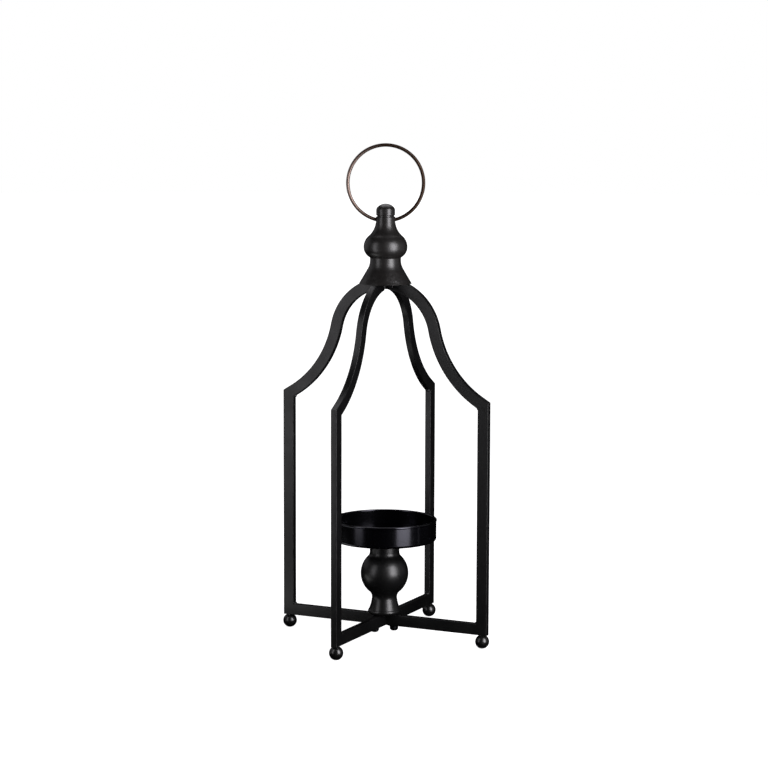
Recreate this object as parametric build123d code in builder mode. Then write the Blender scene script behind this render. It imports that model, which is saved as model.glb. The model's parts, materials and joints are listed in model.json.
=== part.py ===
"""Open candle lantern: two crossed hoops of flat bar, a turned finial with a hanging ring,
and a candle pan on a turned stem.

Millimetres. +Z is up, and the origin lies on the floor under the lantern's axis.
The legs stand on the X and Y axes.
"""

import math
import os

from build123d import *

# Flat bar that the hoops are made of
bar_depth = 10.8
bar_thickness = 6.0
bar_edge_radius = 0.5

# Hoops, measured on the bars' centre lines
leg_radius = 102.6
upright_length = 213.1
shoulder_slope = 31.0
shoulder_run = 6.0
arch_rise = 58.1
arch_radius = 52.3

# Ball feet, each with a small flat where it is welded under a corner
foot_diameter = 13.4
foot_flat_depth = 0.5

# Block that the ogee bars are welded to
block_width = 16.0
block_recess = 0.8

# Finial, from its bell up to its domed cap
bell_radius = 24.9
bell_wall = 2.0
bell_gap = 0.3
bell_hollow_radius = 17.0
bell_curve_radius = 16.0
finial_curve_height = 16.6
finial_waist_length = 2.6
finial_waist_radius = 14.6
finial_waist_blend = 1.2
finial_bulb_radius = 20.7
finial_bulb_under = 11.0
finial_bulb_over = 14.0
finial_shoulder_radius = 16.2
finial_flare_height = 14.8
finial_neck_radius = 9.2
finial_neck_length = 3.5
finial_groove_width = 1.3
finial_groove_depth = 0.9
finial_groove_round = 0.5
finial_cap_radius = 8.9
finial_cap_length = 4.8
finial_dome_height = 6.2
finial_dome_round = 4.3

# Hanging ring of round wire, through a cross-hole in the finial's neck
ring_radius = 35.6
ring_wire_diameter = 3.3
ring_clearance = 0.3
ring_heading = 26.0
ring_hole_below_groove = 3.3

# Stem, from the base crossing up to the pan
stem_lip_radius = 15.8
stem_lip_height = 5.6
stem_lip_rise_angle = 50.0
stem_foot_height = 20.0
stem_waist_radius = 11.8
stem_waist_blend = 7.5
stem_ball_radius = 22.9
stem_neck_radius = 14.2
stem_neck_height = 14.4
stem_neck_blend = 6.0

# Candle pan of pressed sheet with a rolled rim
pan_diameter = 100.0
pan_height = 20.7
pan_sheet = 1.4
pan_corner_radius = 2.4
pan_rim_roll = 2.4

# Stud under the pan, screwed into the top of the stem
stud_diameter = 6.0
stud_length = 14.0
stud_tip_break = 0.8

# Two screws with wide washers that clamp the stem on the base crossing, at opposite corners of it
clamp_diameter = 4.0
clamp_circle_radius = 9.8
clamp_grip = 8.0
clamp_head_diameter = 8.2
clamp_head_height = 5.0
clamp_head_round = 2.6
clamp_socket_width = 2.5
clamp_socket_depth = 1.6
washer_diameter = 12.0
washer_thickness = 1.6
washer_edge_break = 0.3

# Countersunk screw that holds the finial down
screw_diameter = 5.0
screw_head_diameter = 9.6
screw_grip = 14.0
screw_socket_width = 3.0
screw_socket_depth = 1.6
countersink_angle = 90.0

# Clearances round the fasteners
hole_clearance = 0.3
hole_spare = 2.0
thread_clearance = 0.05

# Heights of the frame
base_bottom = foot_diameter - foot_flat_depth
base_middle = base_bottom + bar_depth / 2
base_top = base_bottom + bar_depth
shoulder_height = base_middle + upright_length
arch_height = shoulder_height + arch_rise
crown_top = arch_height + arch_radius + bar_depth / 2
crown_bottom = crown_top - bar_depth + block_recess

# Heights of the finial
waist_bottom = crown_top + finial_curve_height
waist_top = waist_bottom + finial_waist_length
bulb_under_centre = finial_bulb_radius - finial_bulb_under
bulb_over_centre = finial_bulb_radius - finial_bulb_over
bulb_under_angle = math.acos((finial_waist_radius - bulb_under_centre) / finial_bulb_under)
bulb_over_angle = math.acos((finial_shoulder_radius - bulb_over_centre) / finial_bulb_over)
bulb_height = waist_top + finial_bulb_under * math.sin(bulb_under_angle)
bulb_shoulder = bulb_height + finial_bulb_over * math.sin(bulb_over_angle)
neck_bottom = bulb_shoulder + finial_flare_height
groove_bottom = neck_bottom + finial_neck_length
groove_top = groove_bottom + finial_groove_width
dome_bottom = groove_top + finial_cap_length
finial_top = dome_bottom + finial_dome_height
dome_round_centre = finial_cap_radius - finial_dome_round
dome_radius = (dome_round_centre**2 + finial_dome_height**2 - finial_dome_round**2) / (
    2 * (finial_dome_height - finial_dome_round)
)
dome_round_angle = math.degrees(math.atan2(dome_radius - finial_dome_height, dome_round_centre))

# Ring: its wire bends inside the straight cross-hole, so the hole leaves room for the bend
ring_wire_radius = ring_wire_diameter / 2
ring_bend = ring_radius - math.sqrt(ring_radius**2 - finial_neck_radius**2)
ring_hole_radius = ring_wire_radius + ring_bend / 2 + ring_clearance
ring_hole_height = groove_bottom - ring_hole_below_groove
ring_height = ring_hole_height - ring_bend / 2 + ring_radius

# Heights of the stem, the pan and the clamp screws
stem_ball_height = base_top + stem_foot_height + math.sqrt(stem_ball_radius**2 - stem_waist_radius**2)
stem_neck_bottom = stem_ball_height + math.sqrt(stem_ball_radius**2 - stem_neck_radius**2)
stem_top = stem_neck_bottom + stem_neck_height
pan_rim_top = stem_top + pan_height
washer_bottom = base_bottom - washer_thickness

leg_headings = {"right": 0.0, "back": 90.0, "left": 180.0, "front": 270.0}
clamp_headings = {
    "back": (leg_headings["right"] + leg_headings["back"]) / 2,
    "front": (leg_headings["left"] + leg_headings["front"]) / 2,
}
shoulder_corner = (leg_radius, shoulder_height)
base_corner = (leg_radius, base_middle)
shoulder_inward = (-math.cos(math.radians(shoulder_slope)), math.sin(math.radians(shoulder_slope)))


def save(part, name):
    """Labels a finished piece and writes its file."""
    part.label = name
    export_step(part, f"parts/{name}.step")


def leg_plane(heading):
    """Upright plane of one leg: local x runs outwards and local y runs up."""
    outwards = Vector(1, 0, 0).rotate(Axis.Z, heading)
    return Plane(origin=(0, 0, 0), x_dir=outwards, z_dir=outwards.cross(Vector(0, 0, 1)))


def plane_across(plane, point, facing):
    """Plane square to a leg's plane, through a point of it, that faces along a direction of it."""
    origin = plane.from_local_coords(point)
    normal = plane.from_local_coords(facing) - plane.origin
    return Plane(origin=origin, x_dir=plane.z_dir, z_dir=normal)


def shoulder_mitre(plane):
    """Plane that halves the corner of ogee bar and upright, and faces the ogee bar."""
    return plane_across(plane, shoulder_corner, (shoulder_inward[0], shoulder_inward[1] + 1))


def base_mitre(plane):
    """Plane that halves the corner of upright and base bar, and faces the upright."""
    return plane_across(plane, base_corner, (1, 1))


def bar_section(section_plane):
    """Section of the flat bar: local x is its thickness and local y its depth."""
    with BuildSketch(section_plane) as section:
        RectangleRounded(bar_thickness, bar_depth, bar_edge_radius)
    return section.sketch


def make_ogee_bar(heading):
    """S-curved bar: a round arch at the top, then a hollow flare down to the shoulder."""
    plane = leg_plane(heading)
    run_start = (
        leg_radius + shoulder_run * shoulder_inward[0],
        shoulder_height + shoulder_run * shoulder_inward[1],
    )
    overrun = (
        leg_radius - bar_depth * shoulder_inward[0],
        shoulder_height - bar_depth * shoulder_inward[1],
    )
    # The flare's circle touches the shoulder's straight run and the arch's circle
    flare_side = (shoulder_inward[1], -shoulder_inward[0])
    reach = (run_start[0], run_start[1] - arch_height)
    reach_aside = reach[0] * flare_side[0] + reach[1] * flare_side[1]
    reach_squared = reach[0] ** 2 + reach[1] ** 2
    flare_radius = (reach_squared - arch_radius**2) / (2 * (arch_radius - reach_aside))
    flare_centre = (
        run_start[0] + flare_radius * flare_side[0],
        run_start[1] + flare_radius * flare_side[1],
    )
    bend = math.atan2(flare_centre[1] - arch_height, flare_centre[0])
    bend_point = (arch_radius * math.cos(bend), arch_height + arch_radius * math.sin(bend))
    with BuildPart() as bar:
        with BuildLine(plane) as centre_line:
            CenterArc((0, arch_height), arch_radius, 90, math.degrees(bend) - 90)
            TangentArc(bend_point, run_start, tangent=(math.sin(bend), -math.cos(bend)))
            Line(run_start, overrun)
        bar_start = plane_across(plane, (0, arch_height + arch_radius), (1, 0))
        sweep(sections=bar_section(bar_start), path=centre_line.wires()[0])
        split(bisect_by=shoulder_mitre(plane), keep=Keep.TOP)
        split(bisect_by=plane_across(plane, (block_width / 2, arch_height), (1, 0)), keep=Keep.TOP)
    return bar.part


def make_upright(heading):
    """Straight bar between the shoulder mitre and the base mitre."""
    plane = leg_plane(heading)
    with BuildPart() as bar:
        bar_start = plane_across(plane, (leg_radius, base_middle - bar_depth), (0, 1))
        extrude(bar_section(bar_start), amount=upright_length + 2 * bar_depth)
        split(bisect_by=shoulder_mitre(plane), keep=Keep.BOTTOM)
        split(bisect_by=base_mitre(plane), keep=Keep.TOP)
    return bar.part


def make_long_base_bar():
    """Straight bar from the left upright's mitre to the right upright's, under the stem."""
    with BuildPart() as bar:
        bar_start = plane_across(leg_plane(leg_headings["right"]), (0, base_middle), (1, 0))
        extrude(bar_section(bar_start), amount=leg_radius + bar_depth, both=True)
        for side in ("left", "right"):
            split(bisect_by=base_mitre(leg_plane(leg_headings[side])), keep=Keep.BOTTOM)
    return bar.part


def make_half_base_bar(heading):
    """Straight bar between the side of the long base bar and the base mitre."""
    plane = leg_plane(heading)
    with BuildPart() as bar:
        bar_start = plane_across(plane, (bar_thickness / 2, base_middle), (1, 0))
        extrude(bar_section(bar_start), amount=leg_radius + bar_depth)
        split(bisect_by=base_mitre(plane), keep=Keep.BOTTOM)
    return bar.part


def make_ball_foot(heading):
    """Ball with a small flat on top."""
    plane = leg_plane(heading)
    with BuildPart() as ball:
        with Locations(plane.from_local_coords((leg_radius, foot_diameter / 2))):
            Sphere(foot_diameter / 2)
        split(bisect_by=Plane.XY.offset(base_bottom), keep=Keep.BOTTOM)
    return ball.part


def make_crown_block():
    """Block inside the bell, countersunk from below for the finial's screw."""
    with BuildPart() as block:
        with BuildSketch(Plane.XY.offset(crown_bottom)):
            Rectangle(block_width, block_width)
        extrude(amount=crown_top - crown_bottom)
        with Locations(Location((0, 0, crown_bottom), (180, 0, 0))):
            CounterSinkHole(
                screw_diameter / 2 + hole_clearance,
                screw_head_diameter / 2 + hole_clearance,
                counter_sink_angle=countersink_angle,
            )
    return block.part


def arch_skin(radius):
    """Height just over the arch's outer edge at a distance from the axis."""
    outer_radius = arch_radius + bar_depth / 2
    return arch_height + math.sqrt(outer_radius**2 - radius**2) + bell_gap


def make_finial():
    """Turned finial: hollow bell, waist, bulb, flared neck with a cross-hole, and a domed cap."""
    waist_crease = (finial_waist_radius, waist_top)
    groove_radius = finial_cap_radius - finial_groove_depth
    neck_edge = (finial_neck_radius, groove_bottom)
    cap_edge = (finial_cap_radius, groove_top)
    rim = (bell_radius, arch_skin(bell_radius))
    rim_inside = (bell_radius - bell_wall, arch_skin(bell_radius - bell_wall))
    # The bell's straight side leaves the rim and touches the curve under the waist
    to_curve = (finial_waist_radius + bell_curve_radius - rim[0], waist_bottom - rim[1])
    distance = math.hypot(*to_curve)
    side_angle = math.atan2(to_curve[1], to_curve[0]) + math.asin(bell_curve_radius / distance)
    side_length = math.sqrt(distance**2 - bell_curve_radius**2)
    curve_start = (
        rim[0] + side_length * math.cos(side_angle),
        rim[1] + side_length * math.sin(side_angle),
    )
    with BuildPart() as finial:
        with BuildSketch(Plane.XZ) as profile:
            with BuildLine():
                Polyline((0, crown_top), (bell_hollow_radius, crown_top), rim_inside, rim, curve_start)
                TangentArc((finial_waist_radius, waist_bottom), curve_start, tangent=(0, -1))
                Line((finial_waist_radius, waist_bottom), waist_crease)
                CenterArc(
                    (bulb_under_centre, bulb_height),
                    finial_bulb_under,
                    -math.degrees(bulb_under_angle),
                    math.degrees(bulb_under_angle),
                )
                CenterArc(
                    (bulb_over_centre, bulb_height),
                    finial_bulb_over,
                    0,
                    math.degrees(bulb_over_angle),
                )
                TangentArc(
                    (finial_neck_radius, neck_bottom),
                    (finial_shoulder_radius, bulb_shoulder),
                    tangent=(0, -1),
                )
                Polyline(
                    (finial_neck_radius, neck_bottom),
                    neck_edge,
                    (groove_radius, groove_bottom),
                    (groove_radius, groove_top),
                    cap_edge,
                    (finial_cap_radius, dome_bottom),
                )
                CenterArc((dome_round_centre, dome_bottom), finial_dome_round, 0, dome_round_angle)
                CenterArc((0, finial_top - dome_radius), dome_radius, dome_round_angle, 90 - dome_round_angle)
                Line((0, finial_top), (0, crown_top))
            make_face()
            fillet(profile.vertices().sort_by_distance((*waist_crease, 0))[0], finial_waist_blend)
            for edge in (neck_edge, cap_edge):
                fillet(profile.vertices().sort_by_distance((*edge, 0))[0], finial_groove_round)
        revolve(axis=Axis.Z)
        with BuildSketch(Plane.XY.offset(crown_top)):
            Circle(screw_diameter / 2 + thread_clearance)
        extrude(amount=screw_grip + hole_spare, mode=Mode.SUBTRACT)
        with BuildSketch(ring_hole_plane()):
            Circle(ring_hole_radius)
        extrude(amount=finial_neck_radius + ring_hole_radius, both=True, mode=Mode.SUBTRACT)
    return finial.part


def ring_plane():
    """Plane that the upright ring lies in, with its origin at the ring's centre."""
    heading = math.radians(ring_heading)
    along = (math.cos(heading), math.sin(heading), 0)
    across = (math.sin(heading), -math.cos(heading), 0)
    return Plane(origin=(0, 0, ring_height), x_dir=along, z_dir=across)


def ring_hole_plane():
    """Plane square to the cross-hole, at the lantern's axis."""
    return Plane(origin=(0, 0, ring_hole_height), z_dir=ring_plane().x_dir)


def make_hanging_ring():
    """Closed ring of round wire, standing up out of the finial's cross-hole."""
    with BuildPart(ring_plane()) as ring:
        Torus(ring_radius, ring_wire_radius)
    return ring.part


def make_finial_screw():
    """Countersunk screw, flush with the underside of the crown block."""
    head_radius = screw_head_diameter / 2
    shank_radius = screw_diameter / 2
    head_height = (head_radius - shank_radius) / math.tan(math.radians(countersink_angle / 2))
    with BuildPart() as screw:
        with BuildSketch(Plane.XZ):
            Polygon(
                (0, crown_bottom),
                (head_radius, crown_bottom),
                (shank_radius, crown_bottom + head_height),
                (shank_radius, crown_top + screw_grip),
                (0, crown_top + screw_grip),
                align=None,
            )
        revolve(axis=Axis.Z)
        with BuildSketch(Plane.XY.offset(crown_bottom)):
            RegularPolygon(screw_socket_width / 2, 6, major_radius=False)
        extrude(amount=screw_socket_depth, mode=Mode.SUBTRACT)
    return screw.part


def clamp_place(heading):
    """Place of a clamp screw beside the base crossing, seen from above."""
    angle = math.radians(heading)
    return (clamp_circle_radius * math.cos(angle), clamp_circle_radius * math.sin(angle))


def make_stem():
    """Turned stem: rounded lip, hollow-sided foot, ball and neck, bored for the stud and the screws."""
    lip_round = stem_lip_height / 2
    lip_centre = (stem_lip_radius - lip_round, base_top + lip_round)
    # The hollow side of the foot runs down onto the lip's round
    rise = math.radians(stem_lip_rise_angle)
    cove_end = (lip_centre[0] + lip_round * math.cos(rise), lip_centre[1] + lip_round * math.sin(rise))
    waist_crease = (stem_waist_radius, base_top + stem_foot_height)
    neck_crease = (stem_neck_radius, stem_neck_bottom)
    with BuildPart() as stem:
        with BuildSketch(Plane.XZ) as profile:
            with BuildLine():
                Line((0, base_top), (lip_centre[0], base_top))
                CenterArc(lip_centre, lip_round, -90, 90 + stem_lip_rise_angle)
                TangentArc(waist_crease, cove_end, tangent=(0, -1))
                ThreePointArc(waist_crease, (stem_ball_radius, stem_ball_height), neck_crease)
                Polyline(neck_crease, (stem_neck_radius, stem_top), (0, stem_top), (0, base_top))
            make_face()
            fillet(profile.vertices().sort_by_distance((*neck_crease, 0))[0], stem_neck_blend)
            fillet(profile.vertices().sort_by_distance((*waist_crease, 0))[0], stem_waist_blend)
        revolve(axis=Axis.Z)
        with BuildSketch(Plane.XY.offset(stem_top)):
            Circle(stud_diameter / 2 + thread_clearance)
        extrude(amount=-stud_length - hole_spare, mode=Mode.SUBTRACT)
        with BuildSketch(Plane.XY.offset(base_top)):
            with Locations(*[clamp_place(heading) for heading in clamp_headings.values()]):
                Circle(clamp_diameter / 2 + thread_clearance)
        extrude(amount=clamp_grip + hole_spare, mode=Mode.SUBTRACT)
    return stem.part


def make_candle_pan():
    """Round pan pressed from sheet, with a bent corner and a rolled rim."""
    wall_radius = pan_diameter / 2 - (pan_rim_roll - pan_sheet) / 2
    corner = (wall_radius - pan_corner_radius, stem_top + pan_corner_radius)
    roll_height = pan_rim_top - pan_rim_roll / 2
    inside_radius = wall_radius - pan_sheet
    with BuildPart() as pan:
        with BuildSketch(Plane.XZ):
            with BuildLine():
                Line((0, stem_top), (corner[0], stem_top))
                CenterArc(corner, pan_corner_radius, -90, 90)
                Polyline(
                    (wall_radius, corner[1]),
                    (wall_radius, roll_height),
                    (inside_radius, roll_height),
                    (inside_radius, corner[1]),
                )
                CenterArc(corner, pan_corner_radius - pan_sheet, 0, -90)
                Polyline((corner[0], stem_top + pan_sheet), (0, stem_top + pan_sheet), (0, stem_top))
            make_face()
            with Locations((wall_radius - pan_sheet / 2, roll_height)):
                Circle(pan_rim_roll / 2)
        revolve(axis=Axis.Z)
    return pan.part


def make_pan_stud():
    """Stud welded under the pan's floor, screwed into the stem."""
    with BuildPart() as stud:
        with BuildSketch(Plane.XY.offset(stem_top)):
            Circle(stud_diameter / 2)
        extrude(amount=-stud_length)
        chamfer(stud.edges().sort_by(Axis.Z)[0], stud_tip_break)
    return stud.part


def make_clamp_screw(heading):
    """Screw with a round-edged head under its washer, up past the base bars into the stem's foot."""
    place = clamp_place(heading)
    head_bottom = washer_bottom - clamp_head_height
    with BuildPart() as screw:
        with BuildSketch(Plane.XY.offset(head_bottom)):
            with Locations(place):
                Circle(clamp_head_diameter / 2)
        extrude(amount=clamp_head_height)
        fillet(screw.edges().sort_by(Axis.Z)[0], clamp_head_round)
        with BuildSketch(Plane.XY.offset(washer_bottom)):
            with Locations(place):
                Circle(clamp_diameter / 2)
        extrude(amount=base_top + clamp_grip - washer_bottom)
        with BuildSketch(Plane.XY.offset(head_bottom)):
            with Locations(place):
                RegularPolygon(clamp_socket_width / 2, 6, major_radius=False)
        extrude(amount=clamp_socket_depth, mode=Mode.SUBTRACT)
    return screw.part


def make_clamp_washer(heading):
    """Wide washer that spans the corner between two base bars from below."""
    with BuildPart() as washer:
        with BuildSketch(Plane.XY.offset(washer_bottom)):
            with Locations(clamp_place(heading)):
                Circle(washer_diameter / 2)
                Circle(clamp_diameter / 2 + hole_clearance, mode=Mode.SUBTRACT)
        extrude(amount=washer_thickness)
        outer_edges = washer.edges().filter_by(GeomType.CIRCLE).sort_by(SortBy.RADIUS)[-2:]
        chamfer(outer_edges, washer_edge_break)
    return washer.part


os.makedirs("parts", exist_ok=True)

for side, heading in leg_headings.items():
    save(make_ogee_bar(heading), f"ogee_bar_{side}")
    save(make_upright(heading), f"upright_{side}")
    save(make_ball_foot(heading), f"ball_foot_{side}")

for side, heading in clamp_headings.items():
    save(make_half_base_bar(leg_headings[side]), f"base_bar_{side}")
    save(make_clamp_screw(heading), f"clamp_screw_{side}")
    save(make_clamp_washer(heading), f"clamp_washer_{side}")

save(make_long_base_bar(), "base_bar_long")
save(make_crown_block(), "crown_block")
save(make_finial(), "finial")
save(make_finial_screw(), "finial_screw")
save(make_hanging_ring(), "hanging_ring")
save(make_stem(), "stem")
save(make_candle_pan(), "candle_pan")
save(make_pan_stud(), "pan_stud")
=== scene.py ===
"""Looks of the open candle lantern: its black paints, its bronzed wire ring, its screws and its welds,
with a pale studio and the photograph's camera round them. Metres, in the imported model's frame."""

import json
import math

import bmesh
import bpy
from mathutils import Matrix, Vector, noise


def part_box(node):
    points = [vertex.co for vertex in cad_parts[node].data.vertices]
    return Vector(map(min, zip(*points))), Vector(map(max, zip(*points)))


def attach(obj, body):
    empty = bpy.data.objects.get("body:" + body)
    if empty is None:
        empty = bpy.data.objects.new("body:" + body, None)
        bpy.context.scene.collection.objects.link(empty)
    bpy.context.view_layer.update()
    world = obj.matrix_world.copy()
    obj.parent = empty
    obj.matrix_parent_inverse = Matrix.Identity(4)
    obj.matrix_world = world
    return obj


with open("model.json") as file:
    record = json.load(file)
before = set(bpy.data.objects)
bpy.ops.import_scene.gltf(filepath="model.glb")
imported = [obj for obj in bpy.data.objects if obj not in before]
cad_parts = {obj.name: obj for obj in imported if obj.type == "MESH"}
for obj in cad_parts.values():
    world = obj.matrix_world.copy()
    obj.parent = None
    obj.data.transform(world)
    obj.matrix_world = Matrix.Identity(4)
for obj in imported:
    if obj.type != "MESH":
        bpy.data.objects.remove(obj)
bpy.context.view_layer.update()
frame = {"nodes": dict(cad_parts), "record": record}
nodes = frame["nodes"]
ring_joint = frame["record"]["behaviour"]["joints"][0]
MM = 0.001

# The photograph's camera, fitted to the lantern's edges with its pan taken as 100 mm across.
# Headings are turned from the front leg towards the right leg.
camera_heading = math.radians(25.74)
camera_distance = 2.3552
camera_height = 0.5524
camera_aim = Vector((-0.00094, -0.00046, 0.2459))
camera_roll = math.radians(0.17)
camera_lens = 117.19
camera_sensor = 36.0


def linear(hex_colour):
    """Linear colour of an sRGB hex value, with full alpha."""
    channels = [int(hex_colour[i:i + 2], 16) / 255 for i in (1, 3, 5)]
    return [c / 12.92 if c <= 0.04045 else ((c + 0.055) / 1.055) ** 2.4 for c in channels] + [1.0]


def per_metre(size_mm):
    """Texture scale at which a pattern's features are about this many millimetres."""
    return 1 / (size_mm * MM)


def add_node(tree, kind, inputs=None, **settings):
    """Adds a node with its settings, and its inputs' values or links."""
    node = tree.nodes.new(kind)
    for name, value in settings.items():
        setattr(node, name, value)
    for socket, value in (inputs or {}).items():
        if isinstance(value, bpy.types.NodeSocket):
            tree.links.new(value, node.inputs[socket])
        else:
            node.inputs[socket].default_value = value
    return node


def new_material(name):
    """Empty material with its node tree."""
    material = bpy.data.materials.new(name)
    material.use_nodes = True
    material.node_tree.nodes.clear()
    return material, material.node_tree


def end_in_shader(tree, shade, gloss, skin, constants):
    """Ends a finish in a shader with its colour, its roughness, its bumps and its constant values."""
    shader = add_node(tree, "ShaderNodeBsdfPrincipled", {
        "Base Color": shade.outputs["Result"], "Roughness": gloss.outputs["Result"],
        "Normal": skin.outputs["Normal"], **constants})
    add_node(tree, "ShaderNodeOutputMaterial", {"Surface": shader.outputs["BSDF"]})


def end_in_flat_paint(tree, hex_colour):
    """Ends a material of the set in one matt colour."""
    paint = add_node(tree, "ShaderNodeBsdfDiffuse", {"Color": linear(hex_colour)})
    add_node(tree, "ShaderNodeOutputMaterial", {"Surface": paint.outputs[0]})


def baked_powder_coat():
    """Flat bar in black powder coat, sprayed dry and baked. The powder melts to a fine pebbled skin,
    so the black is satin: reflections are wide and soft, with slow clouds where the coat lies thicker."""
    material, tree = new_material("satin_powder_coat")
    place = add_node(tree, "ShaderNodeTexCoord").outputs["Object"]
    clouds = add_node(tree, "ShaderNodeTexNoise", {
        "Vector": place, "Scale": per_metre(26), "Detail": 4.0, "Roughness": 0.6})
    shade = add_node(tree, "ShaderNodeMix", {
        "Factor": clouds.outputs["Fac"], "A": linear("#040405"), "B": linear("#090909")}, data_type="RGBA")
    gloss = add_node(tree, "ShaderNodeMapRange", {
        "Value": clouds.outputs["Fac"], "From Min": 0.3, "From Max": 0.7, "To Min": 0.32, "To Max": 0.42})
    # Real pebbles are about 0.4 mm across; these are drawn at 1.5 mm so that they show
    pebbles = add_node(tree, "ShaderNodeTexVoronoi", {
        "Vector": place, "Scale": per_metre(1.5), "Smoothness": 1.0}, feature="SMOOTH_F1")
    skin = add_node(tree, "ShaderNodeBump", {
        "Height": pebbles.outputs["Distance"], "Strength": 1.0, "Distance": 0.03 * MM})
    end_in_shader(tree, shade, gloss, skin, {"IOR": 1.45})
    return material


# Where a casting is left rough, its lumps are this many times deeper; the change is blended over this height
rough_gain = 12.0
rough_blend = 5 * MM


def sprayed_lacquer(name, dark, light, ior, cast_depth, rough_top):
    """Cast and turned aluminium in sprayed black lacquer. The coat dries to a soft shine, so lamps show as
    round blurred spots, with the slight waves of sprayed paint. The lathe's rings and the casting's lumps
    show through it faintly; below the rough top, where the lathe didn't reach, the lumps are deeper."""
    material, tree = new_material(name)
    place = add_node(tree, "ShaderNodeTexCoord").outputs["Object"]
    clouds = add_node(tree, "ShaderNodeTexNoise", {
        "Vector": place, "Scale": per_metre(22), "Detail": 4.0, "Roughness": 0.6})
    shade = add_node(tree, "ShaderNodeMix", {
        "Factor": clouds.outputs["Fac"], "A": linear(dark), "B": linear(light)}, data_type="RGBA")
    gloss = add_node(tree, "ShaderNodeMapRange", {
        "Value": clouds.outputs["Fac"], "From Min": 0.3, "From Max": 0.7, "To Min": 0.32, "To Max": 0.38})
    lumps = add_node(tree, "ShaderNodeTexNoise", {
        "Vector": place, "Scale": per_metre(6), "Detail": 2.0, "Roughness": 0.5})
    height = add_node(tree, "ShaderNodeSeparateXYZ", {0: place}).outputs["Z"]
    depth = add_node(tree, "ShaderNodeMapRange", {
        "Value": height, "From Min": rough_top - rough_blend, "From Max": rough_top,
        "To Min": rough_gain, "To Max": 1.0})
    relief = add_node(tree, "ShaderNodeMath", {
        0: lumps.outputs["Fac"], 1: depth.outputs["Result"]}, operation="MULTIPLY")
    cast = add_node(tree, "ShaderNodeBump", {
        "Height": relief.outputs[0], "Strength": 1.0, "Distance": cast_depth})
    peel = add_node(tree, "ShaderNodeTexNoise", {
        "Vector": place, "Scale": per_metre(3.2), "Detail": 2.0, "Roughness": 0.5})
    waves = add_node(tree, "ShaderNodeBump", {
        "Height": peel.outputs["Fac"], "Strength": 1.0, "Distance": 0.012 * MM,
        "Normal": cast.outputs["Normal"]})
    # The turning tool moved about 0.2 mm a turn; its rings are drawn 1.6 mm apart so that they show
    rings = add_node(tree, "ShaderNodeTexWave", {
        "Vector": place, "Scale": per_metre(1.6) / 20, "Distortion": 0.6, "Detail": 1.0},
        wave_type="BANDS", bands_direction="Z")
    skin = add_node(tree, "ShaderNodeBump", {
        "Height": rings.outputs["Fac"], "Strength": 1.0, "Distance": 0.002 * MM,
        "Normal": waves.outputs["Normal"]})
    end_in_shader(tree, shade, gloss, skin, {"IOR": ior})
    return material


def dipped_enamel():
    """Steel balls dipped in black enamel. The thick wet coat draws itself smooth, so each ball shows the
    lamps as small soft spots, a little wavy where the enamel ran."""
    material, tree = new_material("dipped_gloss_enamel")
    place = add_node(tree, "ShaderNodeTexCoord").outputs["Object"]
    runs = add_node(tree, "ShaderNodeTexNoise", {
        "Vector": place, "Scale": per_metre(5), "Detail": 3.0, "Roughness": 0.5})
    shade = add_node(tree, "ShaderNodeMix", {
        "Factor": runs.outputs["Fac"], "A": linear("#060606"), "B": linear("#0b0b0b")}, data_type="RGBA")
    gloss = add_node(tree, "ShaderNodeMapRange", {
        "Value": runs.outputs["Fac"], "From Min": 0.3, "From Max": 0.7, "To Min": 0.26, "To Max": 0.34})
    skin = add_node(tree, "ShaderNodeBump", {
        "Height": runs.outputs["Fac"], "Strength": 1.0, "Distance": 0.03 * MM})
    end_in_shader(tree, shade, gloss, skin, {"IOR": 1.62})
    return material


def stoved_enamel():
    """Pressed pan in stoved black enamel. It is smoother than the bars and shows soft-edged lamps in its
    wall, a little blue; the sheet was spun and wiped round the axis, which leaves its gloss in faint
    rings."""
    material, tree = new_material("stoved_black_enamel")
    place = add_node(tree, "ShaderNodeTexCoord").outputs["Object"]
    clouds = add_node(tree, "ShaderNodeTexNoise", {
        "Vector": place, "Scale": per_metre(30), "Detail": 4.0, "Roughness": 0.6})
    shade = add_node(tree, "ShaderNodeMix", {
        "Factor": clouds.outputs["Fac"], "A": linear("#010102"), "B": linear("#030304")}, data_type="RGBA")
    # Wiping rings are finer than 0.5 mm; they are drawn 3 mm apart so that they show
    wiped = add_node(tree, "ShaderNodeTexWave", {
        "Vector": place, "Scale": per_metre(3) / 20, "Distortion": 2.0, "Detail": 2.0},
        wave_type="RINGS", rings_direction="Z")
    gloss = add_node(tree, "ShaderNodeMapRange", {
        "Value": wiped.outputs["Fac"], "To Min": 0.14, "To Max": 0.18})
    peel = add_node(tree, "ShaderNodeTexNoise", {
        "Vector": place, "Scale": per_metre(4), "Detail": 2.0, "Roughness": 0.5})
    skin = add_node(tree, "ShaderNodeBump", {
        "Height": peel.outputs["Fac"], "Strength": 1.0, "Distance": 0.012 * MM})
    end_in_shader(tree, shade, gloss, skin, {"IOR": 1.5, "Specular Tint": linear("#efefff")})
    return material


# The ring grows paler towards one side, from near its middle to its left edge, along its hinge's axis
pale_side_start = -4 * MM
pale_side_end = -36 * MM


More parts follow.
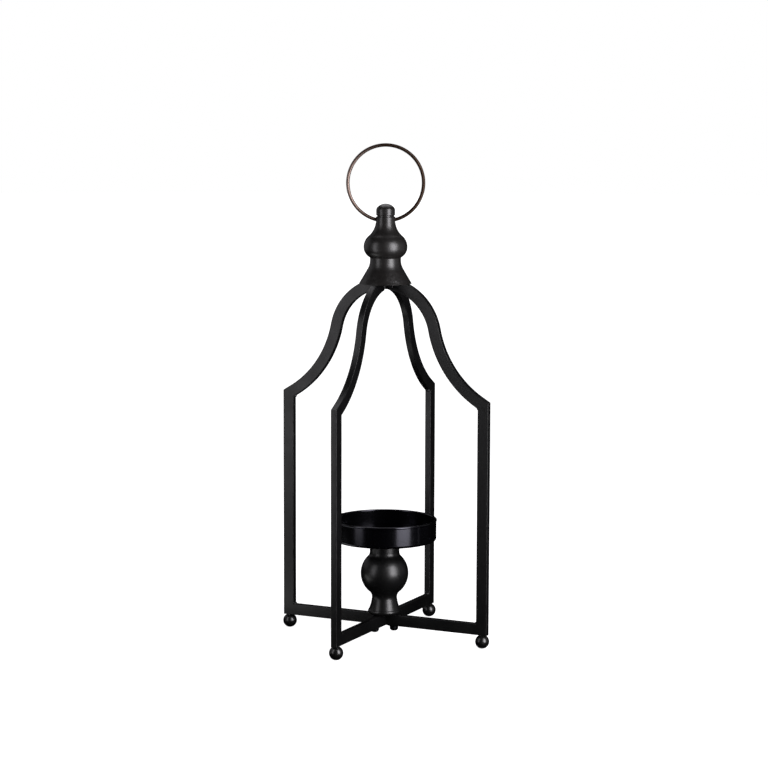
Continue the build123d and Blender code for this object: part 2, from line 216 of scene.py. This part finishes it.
def bronzed_wire():
    """Drawn steel wire with a brown bronzing dip. A thin brown film over bright metal: a warm dark shine, a
    little patchy, and much paler towards one side."""
    material, tree = new_material("bronzed_steel_wire")
    place = add_node(tree, "ShaderNodeTexCoord").outputs["Object"]
    film = add_node(tree, "ShaderNodeTexNoise", {
        "Vector": place, "Scale": per_metre(14), "Detail": 3.0, "Roughness": 0.5})
    film_colour = add_node(tree, "ShaderNodeMix", {
        "Factor": film.outputs["Fac"], "A": linear("#32271f"), "B": linear("#463830")}, data_type="RGBA")
    across = add_node(tree, "ShaderNodeVectorMath", {
        0: place, 1: ring_joint["axis"]}, operation="DOT_PRODUCT")
    # Paler towards the left edge: the colour is mixed to pale by position along the hinge's axis
    paler_side = add_node(tree, "ShaderNodeMapRange", {
        "Value": across.outputs["Value"], "From Min": pale_side_start, "From Max": pale_side_end})
    shade = add_node(tree, "ShaderNodeMix", {
        "Factor": paler_side.outputs["Result"], "A": film_colour.outputs["Result"], "B": linear("#83726a")},
        data_type="RGBA")
    gloss = add_node(tree, "ShaderNodeMapRange", {
        "Value": film.outputs["Fac"], "From Min": 0.3, "From Max": 0.7, "To Min": 0.5, "To Max": 0.42})
    # Drawing scratches are hair-fine; these pits are drawn 5 mm wide so that they show
    pits = add_node(tree, "ShaderNodeTexNoise", {
        "Vector": place, "Scale": per_metre(5), "Detail": 1.0, "Roughness": 0.4})
    skin = add_node(tree, "ShaderNodeBump", {
        "Height": pits.outputs["Fac"], "Strength": 1.0, "Distance": 0.008 * MM})
    end_in_shader(tree, shade, gloss, skin, {"Metallic": 1.0})
    return material


def fastener_finish(name, dark, light, smooth, rough):
    """Cold-headed steel with a thin finish: cloudy metal, a little rough from the dip."""
    material, tree = new_material(name)
    place = add_node(tree, "ShaderNodeTexCoord").outputs["Object"]
    clouds = add_node(tree, "ShaderNodeTexNoise", {
        "Vector": place, "Scale": per_metre(2.5), "Detail": 5.0, "Roughness": 0.65})
    shade = add_node(tree, "ShaderNodeMix", {
        "Factor": clouds.outputs["Fac"], "A": linear(dark), "B": linear(light)}, data_type="RGBA")
    gloss = add_node(tree, "ShaderNodeMapRange", {
        "Value": clouds.outputs["Fac"], "From Min": 0.3, "From Max": 0.7, "To Min": smooth, "To Max": rough})
    skin = add_node(tree, "ShaderNodeBump", {
        "Height": clouds.outputs["Fac"], "Strength": 1.0, "Distance": 0.02 * MM})
    end_in_shader(tree, shade, gloss, skin, {"Metallic": 1.0})
    return material


# The lathe cleaned up the whole of the stem, and the finial down to its bell
rough_height = 13 * MM
bell_rough_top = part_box("finial")[0].z + rough_height
finishes = {
    "frame_paint": baked_powder_coat(),
    "foot_paint": dipped_enamel(),
    "finial_paint": sprayed_lacquer(
        "lacquered_casting", dark="#151413", light="#1b1918", ior=1.6, cast_depth=0.05 * MM,
        rough_top=bell_rough_top),
    "stem_paint": sprayed_lacquer(
        "lacquered_turning", dark="#060606", light="#0b0b0b", ior=1.52, cast_depth=0.01 * MM, rough_top=0.0),
    "pan_paint": stoved_enamel(),
    "ring_wire": bronzed_wire(),
    # Black oxide drinks the light and only glints; zinc plating is pale, cool and cloudy
    "fastener_black": fastener_finish(
        "black_oxide_steel", dark="#17181a", light="#2b2c2f", smooth=0.35, rough=0.5),
    "fastener_plain": fastener_finish(
        "zinc_plated_steel", dark="#8f9296", light="#b4b7bb", smooth=0.3, rough=0.45),
}
for subpart in frame["record"]["subparts"]:
    mesh = nodes[subpart["node"]].data
    mesh.materials.clear()
    mesh.materials.append(finishes[subpart["material_slot"]])


def finish_piece(bm, name, slot):
    """Makes a bmesh a smooth piece of the lantern's body, in a slot's finish."""
    bmesh.ops.recalc_face_normals(bm, faces=bm.faces)
    mesh = bpy.data.meshes.new(name)
    bm.to_mesh(mesh)
    bm.free()
    mesh.shade_smooth()
    mesh.materials.append(finishes[slot])
    piece = bpy.data.objects.new(name, mesh)
    bpy.context.scene.collection.objects.link(piece)
    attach(piece, "lantern")


# Weld metal sets in lumps, and in ripples along a bead
lump_height = 0.12 * MM
lump_width_mm = 1.6
bead_steps = 28
bead_sides = 14
ripple_pitch = 1.2 * MM
ripple_height = 0.1


def lump(bm):
    """Moves each vertex along its normal by a slow noise, as weld metal sets."""
    bmesh.ops.recalc_face_normals(bm, faces=bm.faces)
    bm.normal_update()
    for vert in bm.verts:
        vert.co += vert.normal * lump_height * noise.noise(vert.co * per_metre(lump_width_mm))


def spin_round(bm, steps):
    """Turns all that a bmesh holds once round the Z axis, and closes it."""
    bmesh.ops.spin(
        bm, geom=bm.verts[:] + bm.edges[:], cent=(0, 0, 0), axis=(0, 0, 1), angle=2 * math.pi, steps=steps,
        use_merge=True)
    bmesh.ops.remove_doubles(bm, verts=bm.verts, dist=0.001 * MM)


def add_copy(welds, bm, turn):
    """Adds a turned bmesh to a group of welds, and frees it."""
    bmesh.ops.transform(bm, matrix=turn, verts=bm.verts)
    lump(bm)
    mesh = bpy.data.meshes.new("weld")
    bm.to_mesh(mesh)
    bm.free()
    welds.from_mesh(mesh)
    bpy.data.meshes.remove(mesh)


def add_bead(welds, turn, start, end, radius):
    """Adds a rippled bead of weld metal along the line between two points of a leg."""
    bm = bmesh.new()
    line = end - start
    outline = []
    for step in range(bead_steps + 1):
        along = step / bead_steps
        swell = math.sqrt(1 - (2 * along - 1) ** 4)
        ripple = 1 + ripple_height * math.cos(2 * math.pi * along * line.length / ripple_pitch)
        outline.append(bm.verts.new((radius * swell * ripple, 0, along * line.length)))
    for ends in zip(outline, outline[1:]):
        bm.edges.new(ends)
    spin_round(bm, bead_sides)
    lay = Matrix.Translation(start) @ line.to_track_quat("Z", "Y").to_matrix().to_4x4()
    add_copy(welds, bm, turn @ lay)


# Welds, laid out on the right leg and turned to the others
corner_bead = 1.4 * MM
crossing_bead = 1.1 * MM
crown_bead = 1.0 * MM
bead_inset = 0.3 * MM
bead_end_inset = 0.5 * MM
collar_radius = 3.0 * MM
collar_bead = 0.8 * MM
collar_sides = 12
collar_steps = 32
# A collar is narrower across its bar than along it, and a little flattened
collar_squeeze = Matrix.Diagonal((1.0, 0.76, 0.9, 1.0))
upright_low, upright_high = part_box("upright_right")
base_low, base_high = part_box("base_bar_long")
block_low, block_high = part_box("crown_block")
foot_low, foot_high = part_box("ball_foot_right")
shoulder_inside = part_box("ogee_bar_right")[0].z
half_bar = upright_high.y
bead_half = half_bar - bead_end_inset
leg_turns = [Matrix.Rotation(math.radians(heading), 4, "Z") for heading in (0, 90, 180, 270)]

corner_welds = bmesh.new()
crossing_welds = bmesh.new()
crown_welds = bmesh.new()
foot_welds = bmesh.new()
for turn in leg_turns:
    # One bead across the inside of each base corner and of each shoulder
    for height in (base_high.z, shoulder_inside):
        inside = Vector((upright_low.x - bead_inset, 0, height + bead_inset))
        across = Vector((0, bead_half, 0))
        add_bead(corner_welds, turn, inside - across, inside + across, corner_bead)
    # One bead up each side of an ogee bar, against the crown block
    for side in (-half_bar, half_bar):
        beside = Vector((block_high.x + bead_inset, side, 0))
        add_bead(
            crown_welds, turn, beside + Vector((0, 0, block_low.z + bead_inset)),
            beside + Vector((0, 0, block_high.z - crown_bead)), crown_bead)
    # A collar between each ball and the bar over it
    collar = bmesh.new()
    bmesh.ops.create_circle(
        collar, segments=collar_sides, radius=collar_bead,
        matrix=Matrix.Translation((collar_radius, 0, 0)) @ Matrix.Rotation(math.pi / 2, 4, "X"))
    spin_round(collar, collar_steps)
    foot_top = Matrix.Translation(((foot_low.x + foot_high.x) / 2, 0, foot_high.z - bead_inset))
    add_copy(foot_welds, collar, turn @ foot_top @ collar_squeeze)
# The half bars end at the long bar's sides, so one bead runs along each of the two joints, from below
for turn in leg_turns[::2]:
    under = Vector((0, half_bar, base_low.z + bead_inset))
    along = Vector((bead_half - bead_inset, 0, 0))
    add_bead(crossing_welds, turn, under - along, under + along, crossing_bead)
finish_piece(corner_welds, "corner_welds", "frame_paint")
finish_piece(crossing_welds, "crossing_welds", "frame_paint")
finish_piece(crown_welds, "crown_welds", "frame_paint")
finish_piece(foot_welds, "foot_welds", "foot_paint")

# Threads of the two clamp screws, where they show between washer and stem
thread_radius = 2.0 * MM
thread_pitch = 0.7 * MM
thread_height = 0.14 * MM
thread_root = 0.06 * MM
ridge_half = 0.4 * thread_pitch
turn_steps = 16
thread_turns = math.floor((base_high.z - base_low.z) / thread_pitch) - 1
for side in ("back", "front"):
    screw_low, screw_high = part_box(f"clamp_screw_{side}")
    middle = (screw_low + screw_high) / 2
    bm = bmesh.new()
    ridge = [
        bm.verts.new((thread_radius - thread_root, 0, -ridge_half)),
        bm.verts.new((thread_radius + thread_height, 0, 0)),
        bm.verts.new((thread_radius - thread_root, 0, ridge_half)),
    ]
    for ends in zip(ridge, ridge[1:] + ridge[:1]):
        bm.edges.new(ends)
    bmesh.ops.spin(
        bm, geom=bm.verts[:] + bm.edges[:], cent=(0, 0, 0), axis=(0, 0, 1), angle=2 * math.pi * thread_turns,
        dvec=(0, 0, thread_pitch / turn_steps), steps=turn_steps * thread_turns)
    bmesh.ops.holes_fill(bm, edges=[edge for edge in bm.edges if edge.is_boundary], sides=3)
    start = Vector((middle.x, middle.y, base_low.z + thread_pitch))
    bmesh.ops.translate(bm, vec=start, verts=bm.verts)
    finish_piece(bm, f"clamp_thread_{side}", "fastener_black")


# Camera
camera_data = bpy.data.cameras.new("photo_camera")
camera_data.lens = camera_lens
camera_data.sensor_width = camera_sensor
camera = bpy.data.objects.new("photo_camera", camera_data)
bpy.context.scene.collection.objects.link(camera)
camera.location = (
    camera_distance * math.sin(camera_heading), -camera_distance * math.cos(camera_heading), camera_height)
looking = camera_aim - camera.location
camera.rotation_mode = "QUATERNION"
camera.rotation_quaternion = looking.to_track_quat("-Z", "Y") @ Matrix.Rotation(
    camera_roll, 3, "Z").to_quaternion()
bpy.context.scene.camera = camera


def stage_piece(bm, name):
    """Makes a bmesh a part of the set round the lantern, with an empty material."""
    mesh = bpy.data.meshes.new(name)
    bm.to_mesh(mesh)
    bm.free()
    piece = bpy.data.objects.new(name, mesh)
    bpy.context.scene.collection.objects.link(piece)
    material, tree = new_material(name)
    mesh.materials.append(material)
    return piece, tree


def seen_as_background(tree):
    """One for rays that see the background, straight or in a reflection, and zero for light on the object."""
    paths = add_node(tree, "ShaderNodeLightPath").outputs
    seen = add_node(tree, "ShaderNodeMath", {
        0: paths["Is Camera Ray"], 1: paths["Is Glossy Ray"]}, operation="ADD")
    seen = add_node(tree, "ShaderNodeMath", {
        0: seen.outputs[0], 1: paths["Is Transmission Ray"]}, operation="ADD", use_clamp=True)
    return seen.outputs[0]


# Pale floor, lifted to white away from the lantern, so that only the shadow shows on it
floor_radius = 8.0
shadow_radius = 0.15
white_radius = 0.5
shadow_lift = 0.85
bm = bmesh.new()
bmesh.ops.create_circle(bm, cap_ends=True, segments=96, radius=floor_radius)
tree = stage_piece(bm, "studio_floor")[1]
place = add_node(tree, "ShaderNodeTexCoord").outputs["Object"]
reach = add_node(tree, "ShaderNodeVectorMath", {0: place}, operation="LENGTH")
lift = add_node(tree, "ShaderNodeMapRange", {
    "Value": reach.outputs["Value"], "From Min": shadow_radius, "From Max": white_radius,
    "To Min": shadow_lift, "To Max": 1.0})
strength = add_node(tree, "ShaderNodeMath", {
    0: seen_as_background(tree), 1: lift.outputs["Result"]}, operation="MULTIPLY")
glow = add_node(tree, "ShaderNodeEmission", {"Color": linear("#ffffff"), "Strength": strength.outputs[0]})
paint = add_node(tree, "ShaderNodeBsdfDiffuse", {"Color": linear("#e6e6e6")})
both = add_node(tree, "ShaderNodeAddShader", {0: paint.outputs[0], 1: glow.outputs[0]})
add_node(tree, "ShaderNodeOutputMaterial", {"Surface": both.outputs[0]})

# World: white where it is seen, dim grey as light
ambient_strength = 0.4
world = bpy.data.worlds.new("studio")
bpy.context.scene.world = world
world.use_nodes = True
tree = world.node_tree
tree.nodes.clear()
ambient = add_node(tree, "ShaderNodeBackground", {"Color": linear("#ffffff"), "Strength": ambient_strength})
white = add_node(tree, "ShaderNodeBackground", {"Color": linear("#ffffff"), "Strength": 1.0})
mixed = add_node(tree, "ShaderNodeMixShader", {
    "Fac": seen_as_background(tree), 1: ambient.outputs[0], 2: white.outputs[0]})
add_node(tree, "ShaderNodeOutputWorld", {"Surface": mixed.outputs[0]})

# Black cloth round, over and under the set, out of the camera's sight, as for any shiny black thing: the
# paint shows the lamps against dark, and the floor still takes the lantern's shadow. The cloth under the set
# is seen in reflections alone, a painted dark reflection where the camera sees the white floor
cloth_radius = 1.3
cloth_top = 1.6
cloth_lift = 0.5 * MM
cloth_colour = "#0c0c0c"
bm = bmesh.new()
bmesh.ops.create_cone(
    bm, cap_ends=True, segments=64, radius1=cloth_radius, radius2=cloth_radius, depth=cloth_top,
    matrix=Matrix.Translation((0, 0, cloth_top / 2 + cloth_lift)))
under = [face for face in bm.faces if face.calc_center_median().z < cloth_top / 4]
bmesh.ops.delete(bm, geom=under, context="FACES_ONLY")
tent, tree = stage_piece(bm, "black_cloth_tent")
end_in_flat_paint(tree, cloth_colour)
tent.visible_camera = False
bm = bmesh.new()
bmesh.ops.create_circle(
    bm, cap_ends=True, segments=64, radius=cloth_radius, matrix=Matrix.Translation((0, 0, cloth_lift)))
ground, tree = stage_piece(bm, "dark_reflection_ground")
end_in_flat_paint(tree, cloth_colour)

# A glowing white card on that cloth before the left leg, seen in reflections alone: a painted reflection,
# which the left base bar and the left foot mirror
card_middle = Vector((-0.25, -0.115, 2 * cloth_lift))
card_width = 0.3
card_depth = 0.11
card_glow = 1.2
bm = bmesh.new()
bmesh.ops.create_grid(
    bm, x_segments=1, y_segments=1, size=0.5,
    matrix=Matrix.Translation(card_middle) @ Matrix.Diagonal((card_width, card_depth, 1, 1)))
card, tree = stage_piece(bm, "glowing_reflection_card")
glow = add_node(tree, "ShaderNodeEmission", {"Color": linear("#ffffff"), "Strength": card_glow})
add_node(tree, "ShaderNodeOutputMaterial", {"Surface": glow.outputs[0]})

# Both sheets are there for reflections alone
for sheet in (ground, card):
    sheet.visible_camera = False
    sheet.visible_diffuse = False
    sheet.visible_shadow = False


def around(heading, distance, height):
    """Point at a heading and a distance from the lantern's axis."""
    angle = math.radians(heading)
    return Vector((distance * math.sin(angle), -distance * math.cos(angle), height))


def soft_box(name, place, target, width, height, radiance):
    """Area lamp that faces a target."""
    data = bpy.data.lights.new(name, "AREA")
    data.shape = "RECTANGLE"
    data.size = width
    data.size_y = height
    data.color = linear("#fdfbff")[:3]
    data.energy = radiance * math.pi * width * height
    lamp = bpy.data.objects.new(name, data)
    bpy.context.scene.collection.objects.link(lamp)
    lamp.location = place
    lamp.rotation_mode = "QUATERNION"
    lamp.rotation_quaternion = (target - place).to_track_quat("-Z", "Y")
    lamp.visible_camera = False


# Main lamp at the right, a narrow one at the left, and a dim one over and behind the lantern
lantern_middle = Vector((0, 0, 0.35))
soft_box("right_box", around(69.0, 0.9, 0.46), lantern_middle, width=0.48, height=0.92, radiance=9.4)
soft_box("left_box", around(-31.0, 0.56, 0.36), lantern_middle, width=0.18, height=0.68, radiance=2.5)
soft_box("top_box", around(205.0, 0.55, 1.3), lantern_middle, width=0.9, height=0.9, radiance=1.8)
# A low pale card at the right, which the pan's upright wall and the feet mirror
low_middle = Vector((0, 0, 0.05))
soft_box("low_card", around(66.0, 0.5, 0.05), low_middle, width=0.26, height=0.1, radiance=3.0)
# Dim grey cards at the left and behind the right, so that no side of the lantern is lost in black
soft_box("left_card", around(-95.0, 0.8, 0.5), lantern_middle, width=0.8, height=0.7, radiance=0.3)
soft_box("back_card", around(125.0, 0.8, 0.4), lantern_middle, width=0.4, height=0.8, radiance=0.2)

bpy.context.scene.view_settings.view_transform = "Standard"
